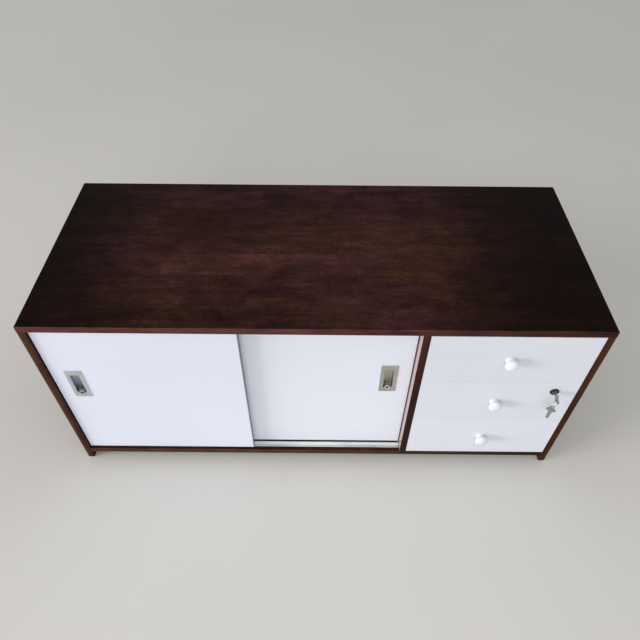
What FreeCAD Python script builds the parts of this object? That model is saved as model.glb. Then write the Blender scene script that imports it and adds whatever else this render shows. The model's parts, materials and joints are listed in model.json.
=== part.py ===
import FreeCAD, Part
import math
import os

V = FreeCAD.Vector

# Office credenza: a low cabinet with two sliding doors on the left and three
# drawers on the right. Millimetres. +Z is up, -Y is the front and +X is to the
# right of someone who faces it. The origin is on the floor, under the middle of
# the whole object, knobs and keys included.

# ---- carcass ----
width = 1200.0
depth = 494.0
height = 515.0
board = 16.0
foot_height = 28.0
drawer_bay_width = 354.0
arris = 1.0
back_corner = 4.0
pick = 0.1
back_thickness = 9.0
rebate_width = 8.0
back_fit = 0.3
glide_radius = 7.0
glide_thickness = 2.5
glide_edge = 0.8
glide_inset = 35.0
nail_radius = 1.2
nail_length = 14.0

# ---- fasteners in the carcass ----
dowel_radius = 4.0
dowel_length = 30.0
dowel_in_face = 10.0
dowel_fit = 0.05
dowel_end_gap = 0.5
dowels_per_panel = 4
dowel_inset = 70.0
rail_dowel_spacing = 34.0
screw_head_radius = 3.6
screw_shank_radius = 1.6
screw_head_height = 2.4
screw_length = 24.0
screw_fit = 0.05
screw_count_across = 7
screw_count_up = 3

# ---- shelf ----
shelf_setback = 60.0
shelf_fit = 1.0
shelf_height = 228.0
shelf_pin_radius = 2.5
shelf_pin_in = 8.0
shelf_pin_out = 8.0
shelf_pin_inset = 45.0
shelf_hole_pitch = 32.0
shelf_holes_each_way = 2

# ---- sliding doors ----
door_thickness = 16.0
door_setback = 6.2
door_spacing = 6.0
door_overlap = 47.0
door_side_gap = 1.5
door_bottom_gap = 3.5
door_top_gap = 3.0
door_arris = 0.8
track_wall = 1.2
track_side_play = 0.4
track_proud = 0.6
bottom_track_depth = 6.0
top_track_depth = 8.0
track_end_gap = 0.5
roller_radius = 12.0
roller_thickness = 4.0
roller_edge = 0.5
roller_inset = 60.0
roller_running_gap = 0.1
axle_radius = 2.0
axle_fit = 0.05
housing_length = 40.0
housing_width = 10.0
housing_height = 20.0
housing_slot_play = 0.5
guide_length = 25.0
guide_seat_depth = 8.0
guide_seat_width = 9.0
guide_tongue = 8.0

# ---- flush pulls with their locks ----
pull_width = 38.5
pull_height = 95.0
pull_thickness = 1.5
pull_edge = 0.5
pull_corner = 1.5
pull_inset = 50.0
pull_level = 319.0
pull_fit = 0.2
recess_width = 21.0
recess_height = 64.0
recess_depth = 11.0
recess_corner = 3.0
cup_wall = 1.0
door_lock_rise = 1.0
door_lock_boss_radius = 6.2
door_lock_boss_proud = 0.4
door_plug_radius = 3.2
door_plug_fit = 0.06
keyhole_width = 1.2
keyhole_height = 4.2
keyhole_depth = 4.0
crank_gap = 0.3
crank_radius = 7.5
crank_thickness = 1.5
crank_pin_radius = 1.0
bolt_thickness = 2.0
bolt_travel = 8.0
bolt_below = 2.0
bolt_above = 9.0
bolt_slot_play = 0.3
bolt_play = 0.3
strike_thickness = 1.2
strike_width = 16.0
strike_height = 40.0
strike_pocket_depth = 9.0

# ---- drawers ----
drawer_count = 3
front_thickness = 16.0
front_side_gap = 0.8
front_end_gap = 1.5
front_between_gap = 0.4
front_arris = 0.25
rail_depth = 70.0
rail_gap = 1.0
box_board = 12.0
box_height = 110.0
box_lift = 20.0
box_bottom_thickness = 6.0
box_bottom_lift = 10.0
groove_depth = 6.0
groove_fit = 0.1
slide_back_gap = 20.0
slide_width = 12.7
slide_height = 45.0
slide_metal = 1.2
slide_gap = 0.5
slide_start = 2.0
knob_radius = 15.0
knob_half_length = 8.5
knob_edge_radius = 7.0
knob_length = 22.5
knob_base_radius = 11.0
knob_base_thickness = 1.5
knob_waist_radius = 9.0
knob_neck_radius = 9.6
knob_stud_radius = 2.0
knob_stud_fit = 0.05

# ---- drawer lock and its keys ----
lock_inset = 51.1
lock_drop = 33.5
rosette_radius = 10.0
rosette_thickness = 2.5
rosette_edge = 0.8
barrel_radius = 8.0
barrel_length = 24.0
barrel_fit = 0.1
plug_radius = 5.0
plug_fit = 0.05
plug_proud = 0.5
tenon_radius = 3.0
tenon_past_cam = 1.0
cam_length = 36.0
cam_width = 12.0
cam_thickness = 2.0
cam_tip_radius = 3.0
cam_clearance = 1.5
key_thickness = 1.8
key_blade_height = 6.4
key_blade_length = 16.0
key_shoulder_height = 8.0
key_reach = 33.0
key_lobe_radius = 4.8
key_lobe_drop = 9.0
key_lobe_spread = 5.6
key_bow_radius = 5.5
key_hole_radius = 3.0
key_fit = 0.1
key_notches = 3
ring_radius = 10.4
ring_wire_radius = 0.55
ring_turn = -11.0
ring_lean = 44.0
spare_key_drop = 1.3
spare_key_yaw = -27.0

# ---- levels and planes worked out from those sizes ----
ring_side = -ring_radius * math.sin(math.radians(ring_lean))
ring_forward = ring_side * math.sin(math.radians(ring_turn))
spare_key_forward = abs((key_lobe_spread + key_lobe_radius) * math.sin(math.radians(spare_key_yaw)))
spare_key_forward += key_thickness / 2 * math.cos(math.radians(spare_key_yaw))
spare_key_reach = key_reach - key_lobe_radius + ring_forward + spare_key_forward
front = (max(key_reach, knob_length, spare_key_reach) - depth) / 2
back = front + depth
back_front = back - back_thickness
top_under = height - board
bottom_top = foot_height + board
inner_half = width / 2 - board
divider_right = inner_half - drawer_bay_width
divider_left = divider_right - board
side_middle = width / 2 - board / 2

door_bay = divider_left + inner_half
door_width = (door_bay + door_overlap) / 2 - door_side_gap
door_bottom = bottom_top + door_bottom_gap
door_top = top_under - door_top_gap
track_half_channel = roller_thickness / 2 + track_side_play
recess_bottom = pull_level - recess_height / 2
door_lock_level = recess_bottom + door_lock_rise
crank_offset = bolt_travel / math.sqrt(2)

front_height = (
    top_under - bottom_top - 2 * front_end_gap - (drawer_count - 1) * front_between_gap
) / drawer_count
front_pitch = front_height + front_between_gap
slide_length = depth - front_thickness - back_thickness - slide_back_gap
drawer_middle = (divider_right + inner_half) / 2
rail_front = front + front_thickness + rail_gap
lock_x = inner_half - front_side_gap - lock_inset
lock_level = bottom_top + front_end_gap + 2 * front_pitch - front_between_gap - lock_drop
cam_front = front + barrel_length + plug_proud

nodes = {}


def block(x0, x1, y0, y1, z0, z1):
    return Part.makeBox(x1 - x0, y1 - y0, z1 - z0, V(x0, y0, z0))


def rod(radius, start, end):
    axis = V(*end) - V(*start)
    return Part.makeCylinder(radius, axis.Length, V(*start), axis)


def eased(shape, radius, chosen):
    """Rounds the edges whose middle point passes the test."""
    edges = [edge for edge in shape.Edges if chosen(edge.CenterOfMass)]
    return shape.makeFillet(radius, edges)


def without(shape, tools):
    """Cuts the tools that reach the shape out of it."""
    near = [tool for tool in tools if tool.BoundBox.intersect(shape.BoundBox)]
    return shape.cut(near) if near else shape


def spread(low, high, count):
    """Evenly spaced places from low to high, both included."""
    step = (high - low) / (count - 1)
    return [low + step * i for i in range(count)]


# ---- dowels, back screws and shelf pins, with the holes they sit in ----
def dowel_rows():
    """Every dowel as its joint face point and the direction from face board into end board."""
    rows = []
    for y in spread(front + dowel_inset, back_front - dowel_inset, dowels_per_panel):
        for side in (-1, 1):
            rows.append(((side * side_middle, y, top_under), (0, 0, -1)))
            rows.append(((side * inner_half, y, bottom_top - board / 2), (-side, 0, 0)))
        divider_middle = (divider_left + divider_right) / 2
        rows.append(((divider_middle, y, top_under), (0, 0, -1)))
        rows.append(((divider_middle, y, bottom_top), (0, 0, 1)))
    for number in range(1, drawer_count):
        level = rail_level(number)
        middle = rail_front + rail_depth / 2
        for y in (middle - rail_dowel_spacing / 2, middle + rail_dowel_spacing / 2):
            rows.append(((divider_right, y, level), (1, 0, 0)))
            rows.append(((inner_half, y, level), (-1, 0, 0)))
    return rows


def rail_level(number):
    """Middle height of the rail over the given number of drawers, counted from below."""
    return bottom_top + front_end_gap + number * front_pitch - front_between_gap / 2


def dowel(face_point, direction, grow, extend):
    point = V(*face_point)
    along = V(*direction)
    start = point - along * (dowel_in_face + extend)
    end = point + along * (dowel_length - dowel_in_face + extend)
    return rod(dowel_radius + grow, start, end)


def back_screw(x, z, grow):
    head = Part.makeCone(
        screw_head_radius + grow,
        screw_shank_radius + grow,
        screw_head_height,
        V(x, back, z),
        V(0, -1, 0),
    )
    tip = back - screw_length - grow
    shank = rod(screw_shank_radius + grow, (x, back, z), (x, tip, z))
    return head.fuse(shank).removeSplitter()


def back_screw_places():
    lap = rebate_width / 2
    across = spread(-inner_half + dowel_inset, inner_half - dowel_inset, screw_count_across)
    up = spread(bottom_top + dowel_inset, top_under - dowel_inset, screw_count_up)
    places = [(x, z) for x in across for z in (bottom_top - lap, top_under + lap)]
    places += [(side * (inner_half + lap), z) for side in (-1, 1) for z in up]
    places += [((divider_left + divider_right) / 2, z) for z in up]
    return places


def shelf_pin_rows():
    """X of the board face, Y, and the direction in which the pin stands out."""
    near = front + shelf_setback + shelf_pin_inset
    far = back_front - shelf_pin_inset
    return [(x, y, out) for x, out in ((-inner_half, 1), (divider_left, -1)) for y in (near, far)]


pin_level = bottom_top + shelf_height - shelf_pin_radius

dowel_holes = [dowel(p, d, dowel_fit, dowel_end_gap) for p, d in dowel_rows()]
screw_holes = [back_screw(x, z, screw_fit) for x, z in back_screw_places()]
shelf_holes = [
    rod(shelf_pin_radius, (x, y, z), (x - out * (shelf_pin_in + dowel_end_gap), y, z))
    for x, y, out in shelf_pin_rows()
    for z in spread(
        pin_level - shelf_holes_each_way * shelf_hole_pitch,
        pin_level + shelf_holes_each_way * shelf_hole_pitch,
        2 * shelf_holes_each_way + 1,
    )
]
carcass_holes = dowel_holes + screw_holes + shelf_holes


def back_rebate():
    reach = inner_half + rebate_width
    low = bottom_top - rebate_width
    return block(-reach, reach, back_front, back, low, top_under + rebate_width)


# ---- sliding door tracks: one aluminium section, laid in the bottom, hung in the top ----
def channel_middles():
    first = front + door_setback + door_thickness / 2
    return (first, first + door_thickness + door_spacing)


def track(mouth, floor, inward):
    """Two channels joined by a web. mouth and floor are the levels of its open and closed side."""
    outer = track_half_channel + track_wall
    near, far = channel_middles()
    x0 = -inner_half + track_end_gap
    x1 = divider_left - track_end_gap
    low, high = sorted((mouth, floor))
    shape = block(x0, x1, near - outer, far + outer, low, high)
    inside = sorted((mouth, floor - inward * track_wall))
    web = sorted((floor, mouth + inward * track_wall))
    tools = [
        block(x0, x1, y - track_half_channel, y + track_half_channel, *inside)
        for y in (near, far)
    ]
    tools.append(block(x0, x1, near + outer, far - outer, *web))
    return shape.cut(tools)


def track_seat(face, floor):
    outer = track_half_channel + track_wall
    near, far = channel_middles()
    low, high = sorted((face, floor))
    return block(-inner_half, divider_left, near - outer, far + outer, low, high)


bottom_track_floor = bottom_top - bottom_track_depth
top_track_floor = top_under + top_track_depth
nodes["bottom_door_track"] = track(bottom_top + track_proud, bottom_track_floor, -1)
nodes["top_door_track"] = track(top_under - track_proud, top_track_floor, 1)


# ---- door locks: places shared by the doors, the side panel and the divider ----
def door_face(side):
    """Front plane of the left (-1) or right (1) door: the left one runs in the front channel."""
    return front + door_setback + (door_thickness + door_spacing if side > 0 else 0)


def door_edge(side):
    """The door's closing edge: the left door shuts to the left, the right one to the right."""
    return side * door_side_gap * -1 + (divider_left if side > 0 else -inner_half)


def bolt_front(side):
    return door_face(side) - pull_thickness + recess_depth + cup_wall + 2 * crank_gap + crank_thickness


def strike_parts(side):
    """The strike plate, and the pocket and seat that it needs in the board it is let into."""
    face = divider_left if side > 0 else -inner_half
    middle = bolt_front(side) + bolt_thickness / 2
    level = door_lock_level + (bolt_above - bolt_below) / 2
    seat = sorted((face, face + side * strike_thickness))
    pocket = sorted((face, face + side * strike_pocket_depth))
    half = bolt_thickness / 2 + 2 * bolt_play
    plate = block(
        *seat,
        middle - strike_width / 2,
        middle + strike_width / 2,
        level - strike_height / 2,
        level + strike_height / 2,
    )
    hole = block(
        *pocket,
        middle - half,
        middle + half,
        door_lock_level - bolt_below - 2 * bolt_play,
        door_lock_level + bolt_above + 2 * bolt_play,
    )
    return plate, hole


strikes = [strike_parts(side) for side in (-1, 1)]
strike_cuts = [shape for pair in strikes for shape in pair]
nodes["lock_strike_plates"] = Part.Compound([plate.cut(hole) for plate, hole in strikes])


# ---- foot glides under the side panels ----
def glide(x, y, grow):
    foot = rod(glide_radius, (x, y, 0), (x, y, glide_thickness))
    foot = eased(foot, glide_edge, lambda c: c.z < pick)
    nail_top = glide_thickness + nail_length + grow
    return foot.fuse(rod(nail_radius + grow, (x, y, glide_thickness / 2), (x, y, nail_top)))


glide_places = [
    (side * side_middle, y) for side in (-1, 1) for y in (front + glide_inset, back - glide_inset)
]
nodes["foot_glides"] = Part.Compound([glide(x, y, 0) for x, y in glide_places])
nail_holes = [glide(x, y, screw_fit) for x, y in glide_places]


# ---- carcass boards ----
def top_panel():
    shape = block(-width / 2, width / 2, front, back, top_under, height)
    shape = eased(shape, back_corner, lambda c: c.y > back - arris and abs(c.x) > inner_half)
    shape = eased(shape, arris, lambda c: c.z > height - arris)
    seat = track_seat(top_under, top_track_floor)
    return without(shape, [back_rebate(), seat] + carcass_holes)


def side_panel(side):
    x0, x1 = sorted((side * inner_half, side * width / 2))
    shape = block(x0, x1, front, back, glide_thickness, top_under)
    middle = (glide_thickness + top_under) / 2
    outside = side * inner_half + side * board / 4

    def at_front(c):
        return abs(c.z - middle) < arris and c.y < front + arris

    def at_outer_back(c):
        return abs(c.z - middle) < arris and c.y > back - arris and side * c.x > side * outside

    shape = eased(shape, arris, at_front)
    shape = eased(shape, back_corner, at_outer_back)
    return without(shape, [back_rebate()] + carcass_holes + nail_holes + strike_cuts)


def bottom_panel():
    shape = block(-inner_half, inner_half, front, back, foot_height, bottom_top)
    shape = eased(shape, arris, lambda c: c.y < front + arris and abs(c.x) < arris)
    seat = track_seat(bottom_top, bottom_track_floor)
    return without(shape, [back_rebate(), seat] + carcass_holes)


def divider_panel():
    shape = block(divider_left, divider_right, front, back_front, bottom_top, top_under)
    middle = (bottom_top + top_under) / 2
    shape = eased(shape, arris, lambda c: c.y < front + arris and abs(c.z - middle) < arris)
    return without(shape, carcass_holes + strike_cuts)


def back_panel():
    reach = inner_half + rebate_width - back_fit
    low = bottom_top - rebate_width + back_fit
    shape = block(-reach, reach, back_front, back, low, top_under + rebate_width - back_fit)
    return without(shape, screw_holes)


def cabinet_shelf():
    low = bottom_top + shelf_height
    x0 = -inner_half + shelf_fit
    x1 = divider_left - shelf_fit
    y0 = front + shelf_setback
    shape = block(x0, x1, y0, back_front - shelf_fit, low, low + board)
    return eased(shape, arris, lambda c: c.y < y0 + arris and abs(c.x - (x0 + x1) / 2) < arris)


def cam_pocket():
    """Room in the upper rail for the lock's cam to swing up into."""
    swing = math.hypot(cam_length, cam_width / 2) + cam_clearance
    top = lock_level + swing
    y0 = cam_front - cam_clearance
    y1 = cam_front + cam_thickness + cam_clearance
    low = rail_level(2) - board
    return block(lock_x - cam_length, lock_x + cam_width, y0, y1, low, top)


def drawer_rail(number):
    level = rail_level(number)
    shape = block(
        divider_right,
        inner_half,
        rail_front,
        rail_front + rail_depth,
        level - board / 2,
        level + board / 2,
    )
    return without(shape, [cam_pocket()] + carcass_holes)


nodes["top_panel"] = top_panel()
nodes["left_side_panel"] = side_panel(-1)
nodes["right_side_panel"] = side_panel(1)
nodes["bottom_panel"] = bottom_panel()
nodes["divider_panel"] = divider_panel()
nodes["back_panel"] = back_panel()
nodes["cabinet_shelf"] = cabinet_shelf()
nodes["lower_drawer_rail"] = drawer_rail(1)
nodes["upper_drawer_rail"] = drawer_rail(2)
nodes["panel_dowels"] = Part.Compound([dowel(p, d, 0, 0) for p, d in dowel_rows()])
nodes["back_panel_screws"] = Part.Compound([back_screw(x, z, 0) for x, z in back_screw_places()])
nodes["shelf_pins"] = Part.Compound(
    [
        rod(
            shelf_pin_radius,
            (x - out * shelf_pin_in, y, pin_level),
            (x + out * shelf_pin_out, y, pin_level),
        )
        for x, y, out in shelf_pin_rows()
    ]
)


# ---- sliding doors, with side -1 for the left one and 1 for the right one ----
def door_span(side):
    edge = door_edge(side)
    return sorted((edge, edge - side * door_width))


def roller_places(side):
    """X of the outer and the inner roller, the outer one by the door's closing edge."""
    edge = door_edge(side)
    return (edge - side * roller_inset, edge - side * (door_width - roller_inset))


def door_middle(side):
    return door_face(side) + door_thickness / 2


roller_level = bottom_track_floor + track_wall + roller_running_gap + roller_radius


def pull_x(side):
    return door_edge(side) - side * pull_inset


def pull_cup(side, grow):
    """The outside of the cup behind the pull's plate."""
    x = pull_x(side)
    y = door_face(side)
    half = recess_width / 2 + cup_wall + grow
    low = recess_bottom - cup_wall - grow
    high = recess_bottom + recess_height + cup_wall + grow
    floor = y - pull_thickness + recess_depth + cup_wall
    return block(x - half, x + half, y - pull_thickness / 2, floor + grow, low, high)


def crank_room(side):
    """The round pocket behind the pull in which the lock's crank turns."""
    y = door_face(side)
    x = pull_x(side)
    floor = bolt_front(side) + bolt_thickness + bolt_play
    centre = (x, y, door_lock_level)
    return rod(crank_radius + 2 * bolt_play, centre, (x, floor, door_lock_level))


def bolt_room(side):
    """The mortise from the lock to the door's closing edge."""
    x0, x1 = sorted((door_edge(side), pull_x(side) - side * (bolt_travel + 2 * bolt_play)))
    return block(
        x0,
        x1,
        bolt_front(side) - bolt_play,
        bolt_front(side) + bolt_thickness + bolt_play,
        door_lock_level - bolt_below - bolt_play,
        door_lock_level + bolt_above + bolt_play,
    )


def guide_seat(x, side):
    y = door_middle(side)
    return block(
        x - guide_length / 2,
        x + guide_length / 2,
        y - guide_seat_width / 2,
        y + guide_seat_width / 2,
        door_top - guide_seat_depth,
        door_top,
    )


def housing_seat(x, side):
    y = door_middle(side)
    return block(
        x - housing_length / 2,
        x + housing_length / 2,
        y - housing_width / 2,
        y + housing_width / 2,
        door_bottom,
        door_bottom + housing_height,
    )


def door_panel(side):
    x0, x1 = door_span(side)
    y = door_face(side)
    shape = block(x0, x1, y, y + door_thickness, door_bottom, door_top)
    shape = eased(shape, door_arris, lambda c: c.y < y + door_arris)
    tools = [pull_cup(side, pull_fit), crank_room(side), bolt_room(side)]
    for x in roller_places(side):
        tools.append(housing_seat(x, side))
        tools.append(guide_seat(x, side))
    return shape.cut(tools)


def door_pull(side):
    x = pull_x(side)
    y = door_face(side)
    plate = block(
        x - pull_width / 2,
        x + pull_width / 2,
        y - pull_thickness,
        y,
        pull_level - pull_height / 2,
        pull_level + pull_height / 2,
    )
    plate = eased(plate, pull_corner, lambda c: abs(c.y - y + pull_thickness / 2) < pick)
    plate = eased(plate, pull_edge, lambda c: c.y < y - pull_thickness + pick)
    cup = pull_cup(side, 0)
    cup = eased(cup, recess_corner, lambda c: y < c.y < y + recess_depth)
    floor = y - pull_thickness + recess_depth
    recess = block(
        x - recess_width / 2,
        x + recess_width / 2,
        y - pull_thickness,
        floor,
        recess_bottom,
        recess_bottom + recess_height,
    )
    recess = eased(recess, recess_corner, lambda c: c.y > y)
    boss_front = y - pull_thickness - door_lock_boss_proud
    boss = rod(
        door_lock_boss_radius,
        (x, boss_front, door_lock_level),
        (x, floor + cup_wall, door_lock_level),
    )
    boss = eased(boss, door_lock_boss_proud - pick, lambda c: c.y < boss_front + pick)
    bore = rod(
        door_plug_radius + door_plug_fit,
        (x, y - 2 * pull_thickness, door_lock_level),
        (x, floor + 2 * cup_wall, door_lock_level),
    )
    return plate.fuse(cup).cut(recess).fuse(boss).cut(bore).removeSplitter()


def door_lock_plug(side):
    x = pull_x(side)
    y = door_face(side) - pull_thickness
    crank_front = y + recess_depth + cup_wall + crank_gap
    crank_back = crank_front + crank_thickness
    body = rod(door_plug_radius, (x, y, door_lock_level), (x, crank_back, door_lock_level))
    crank = rod(crank_radius, (x, crank_front, door_lock_level), (x, crank_back, door_lock_level))
    arm = crank_offset / math.sqrt(2)
    pin_x = x - side * arm
    pin_z = door_lock_level + arm
    pin_end = bolt_front(side) + bolt_thickness
    pin = rod(crank_pin_radius, (pin_x, crank_front, pin_z), (pin_x, pin_end, pin_z))
    keyhole = block(
        x - keyhole_width / 2,
        x + keyhole_width / 2,
        y,
        y + keyhole_depth,
        door_lock_level - keyhole_height / 2,
        door_lock_level + keyhole_height / 2,
    )
    return body.fuse([crank, pin]).cut(keyhole).removeSplitter()


def door_lock_bolt(side):
    x = pull_x(side)
    arm = crank_offset / math.sqrt(2)
    pin_x = x - side * arm
    tail = x - side * (bolt_travel + bolt_play)
    x0, x1 = sorted((tail, door_edge(side) - side * bolt_play))
    y0 = bolt_front(side)
    y1 = y0 + bolt_thickness
    bar = block(x0, x1, y0, y1, door_lock_level - bolt_below, door_lock_level + bolt_above)
    half = crank_pin_radius + bolt_slot_play
    slot = block(
        pin_x - half,
        pin_x + half,
        y0,
        y1,
        door_lock_level + arm - half,
        door_lock_level + crank_offset + half,
    )
    return bar.cut(slot)


def roller_housing(x, side):
    y = door_middle(side)
    shape = housing_seat(x, side)
    half = roller_thickness / 2 + housing_slot_play
    reach = roller_radius + 2 * housing_slot_play
    slot = block(x - reach, x + reach, y - half, y + half, door_bottom, roller_level + reach)
    axle_ends = ((x, y - housing_width / 2, roller_level), (x, y + housing_width / 2, roller_level))
    return shape.cut(slot).fuse(rod(axle_radius, *axle_ends)).removeSplitter()


def roller(x, side):
    y = door_middle(side)
    ends = ((x, y - roller_thickness / 2, roller_level), (x, y + roller_thickness / 2, roller_level))
    wheel = rod(roller_radius, *ends)
    wheel = eased(wheel, roller_edge, lambda c: abs(c.y - y) > pick)
    return wheel.cut(rod(axle_radius + axle_fit, *ends))


def top_guide(x, side):
    y = door_middle(side)
    tongue = block(
        x - guide_length / 2,
        x + guide_length / 2,
        y - roller_thickness / 2,
        y + roller_thickness / 2,
        door_top,
        door_top + guide_tongue,
    )
    return guide_seat(x, side).fuse(tongue).removeSplitter()


for name, side in (("left_door", -1), ("right_door", 1)):
    outer_x, inner_x = roller_places(side)
    nodes[name + "_panel"] = door_panel(side)
    nodes[name + "_pull"] = door_pull(side)
    nodes[name + "_lock_plug"] = door_lock_plug(side)
    nodes[name + "_lock_bolt"] = door_lock_bolt(side)
    nodes[name + "_roller_housings"] = Part.Compound([roller_housing(x, side) for x in (outer_x, inner_x)])
    nodes[name + "_outer_roller"] = roller(outer_x, side)
    nodes[name + "_inner_roller"] = roller(inner_x, side)
    nodes[name + "_top_guides"] = Part.Compound([top_guide(x, side) for x in (outer_x, inner_x)])


# ---- drawers, numbered from below ----
def front_bottom(number):
    return bottom_top + front_end_gap + number * front_pitch


def across_slide(side, near, far):
    """X range of a slide piece, from its distances to the wall that carries the slide."""
    wall = inner_half if side > 0 else divider_right
    return sorted((wall - side * near, wall - side * far))


def slide_piece(number, side, web, flange, half_height):
    """A channel along Y. web and flange are the wall distances of its closed and open side."""
    level = front_bottom(number) + box_lift + box_height / 2
    y0 = front + front_thickness + slide_start
    y1 = y0 + slide_length - slide_start
    turn = 1 if flange > web else -1
    outside = across_slide(side, web, flange)
    inside = across_slide(side, web + turn * slide_metal, flange)
    hollow = half_height - slide_metal
    shape = block(*outside, y0, y1, level - half_height, level + half_height)
    return shape.cut(block(*inside, y0, y1, level - hollow, level + hollow))


slide_open = slide_width - slide_metal - slide_gap
slide_step = slide_metal + slide_gap


def cabinet_member(number, side):
    return slide_piece(number, side, 0, slide_open, slide_height / 2)


def middle_member(number, side):
    return slide_piece(number, side, slide_step, slide_open, slide_height / 2 - slide_step)


def drawer_member(number, side):
    return slide_piece(number, side, slide_width, 2 * slide_step, slide_height / 2 - 2 * slide_step)


box_left = divider_right + slide_width
box_right = inner_half - slide_width
box_front = front + front_thickness
box_back = box_front + slide_length


def box_bottom(number, grow):
    low = front_bottom(number) + box_lift + box_bottom_lift
    deep = groove_depth - groove_fit + grow
    return block(
        box_left + box_board - deep,
        box_right - box_board + deep,
        box_front - deep,
        box_back,
        low - grow,
        low + box_bottom_thickness + grow,
    )


def drawer_front(number):
    low = front_bottom(number)
    x0 = divider_right + front_side_gap
    x1 = inner_half - front_side_gap
    shape = block(x0, x1, front, box_front, low, low + front_height)
    shape = eased(shape, front_arris, lambda c: c.y < front + front_arris)
    middle = low + front_height / 2
    stud_hole = rod(
        knob_stud_radius + knob_stud_fit, (drawer_middle, front, middle), (drawer_middle, box_front, middle)
    )
    lock_hole = rod(barrel_radius + barrel_fit, (lock_x, front, lock_level), (lock_x, box_front, lock_level))
    return without(shape, [stud_hole, lock_hole, box_bottom(number, groove_fit)])


def box_sides(number):
    low = front_bottom(number) + box_lift
    sides = [
        block(box_left, box_left + box_board, box_front, box_back, low, low + box_height),
        block(box_right - box_board, box_right, box_front, box_back, low, low + box_height),
    ]
    return Part.Compound([side.cut(box_bottom(number, groove_fit)) for side in sides])


def box_rear(number):
    low = front_bottom(number) + box_lift
    seat = low + box_bottom_lift + box_bottom_thickness + groove_fit
    x0 = box_left + box_board
    x1 = box_right - box_board
    return block(x0, x1, box_back - box_board, box_back, seat, low + box_height)


def knob(number):
    """A flattened ball on a waisted neck, turned about its stud. Three tangent arcs make the ball."""
    centre = knob_length - knob_half_length
    rim = knob_edge_radius
    rim_x = knob_radius - rim
    crown = (rim_x**2 + knob_half_length**2 - rim**2) / (2 * (knob_half_length - rim))
    shift = crown - knob_half_length
    join_x = rim_x + rim * rim_x / (crown - rim)
    join_rise = rim * shift / (crown - rim)

    def on_crown(x, way):
        return V(x, centre + way * (math.sqrt(crown**2 - x**2) - shift), 0)

    neck_end = on_crown(knob_neck_radius, -1)
    waist_y = (knob_base_thickness + neck_end.y) / 2
    arcs = [
        (V(knob_base_radius, knob_base_thickness, 0), V(knob_waist_radius, waist_y, 0), neck_end),
        (neck_end, on_crown((knob_neck_radius + join_x) / 2, -1), V(join_x, centre - join_rise, 0)),
        (V(join_x, centre - join_rise, 0), V(knob_radius, centre, 0), V(join_x, centre + join_rise, 0)),
        (V(join_x, centre + join_rise, 0), on_crown(join_x / 2, 1), V(0, knob_length, 0)),
    ]
    points = [
        V(0, knob_length, 0),
        V(0, -front_thickness, 0),
        V(knob_stud_radius, -front_thickness, 0),
        V(knob_stud_radius, 0, 0),
        V(knob_base_radius, 0, 0),
        V(knob_base_radius, knob_base_thickness, 0),
    ]
    edges = [Part.makeLine(a, b) for a, b in zip(points, points[1:])]
    edges += [Part.Arc(*arc).toShape() for arc in arcs]
    shape = Part.Face(Part.Wire(edges)).revolve(V(0, 0, 0), V(0, 1, 0), 360)
    shape.rotate(V(0, 0, 0), V(0, 0, 1), 180)
    shape.translate(V(drawer_middle, front, front_bottom(number) + front_height / 2))
    return shape


drawer_names = ("bottom_drawer", "middle_drawer", "top_drawer")
for number, name in enumerate(drawer_names):
    nodes[name + "_front"] = drawer_front(number)
    nodes[name + "_sides"] = box_sides(number)
    nodes[name + "_back"] = box_rear(number)
    nodes[name + "_bottom"] = box_bottom(number, 0)
    nodes[name + "_knob"] = knob(number)
    nodes[name + "_slide_members"] = Part.Compound([drawer_member(number, side) for side in (-1, 1)])
    nodes[name + "_slide_middles"] = Part.Compound([middle_member(number, side) for side in (-1, 1)])
nodes["slide_cabinet_members"] = Part.Compound(
    [cabinet_member(number, side) for number in range(drawer_count) for side in (-1, 1)]
)


# ---- drawer lock in the middle drawer's front ----
def at_lock(y):
    return (lock_x, y, lock_level)


def lock_barrel():
    rosette = rod(rosette_radius, at_lock(front - rosette_thickness), at_lock(front))
    rosette = eased(rosette, rosette_edge, lambda c: c.y < front - rosette_thickness + pick)
    barrel = rod(barrel_radius, at_lock(front - rosette_thickness / 2), at_lock(front + barrel_length))
    bore = rod(
        plug_radius + plug_fit, at_lock(front - 2 * rosette_thickness), at_lock(front + 2 * barrel_length)
    )
    return rosette.fuse(barrel).cut(bore).removeSplitter()


def lock_plug():
    y0 = front - rosette_thickness - plug_proud
    body = rod(plug_radius, at_lock(y0), at_lock(cam_front))
    tenon = rod(tenon_radius, at_lock(cam_front), at_lock(cam_front + cam_thickness + tenon_past_cam))
    half = key_thickness / 2 + key_fit
    tall = key_blade_height / 2 + key_fit
    y1 = y0 + key_blade_length + key_fit
    keyway = block(lock_x - half, lock_x + half, y0, y1, lock_level - tall, lock_level + tall)
    return body.fuse(tenon).cut(keyway).removeSplitter()


def lock_cam():
    """A flat tongue that points left when unlocked and turns up into the rail when locked."""
    y1 = cam_front + cam_thickness
    end = cam_width / 2
    tongue = block(lock_x - cam_length, lock_x, cam_front, y1, lock_level - end, lock_level + end)
    tip = lock_x - cam_length + pick
    middle = cam_front + cam_thickness / 2
    tongue = eased(tongue, cam_tip_radius, lambda c: c.x < tip and abs(c.y - middle) < pick)
    head = rod(cam_width / 2, at_lock(cam_front), at_lock(y1))
    hole = rod(tenon_radius + plug_fit, at_lock(cam_front), at_lock(y1))
    return tongue.fuse(head).cut(hole).removeSplitter()


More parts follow.
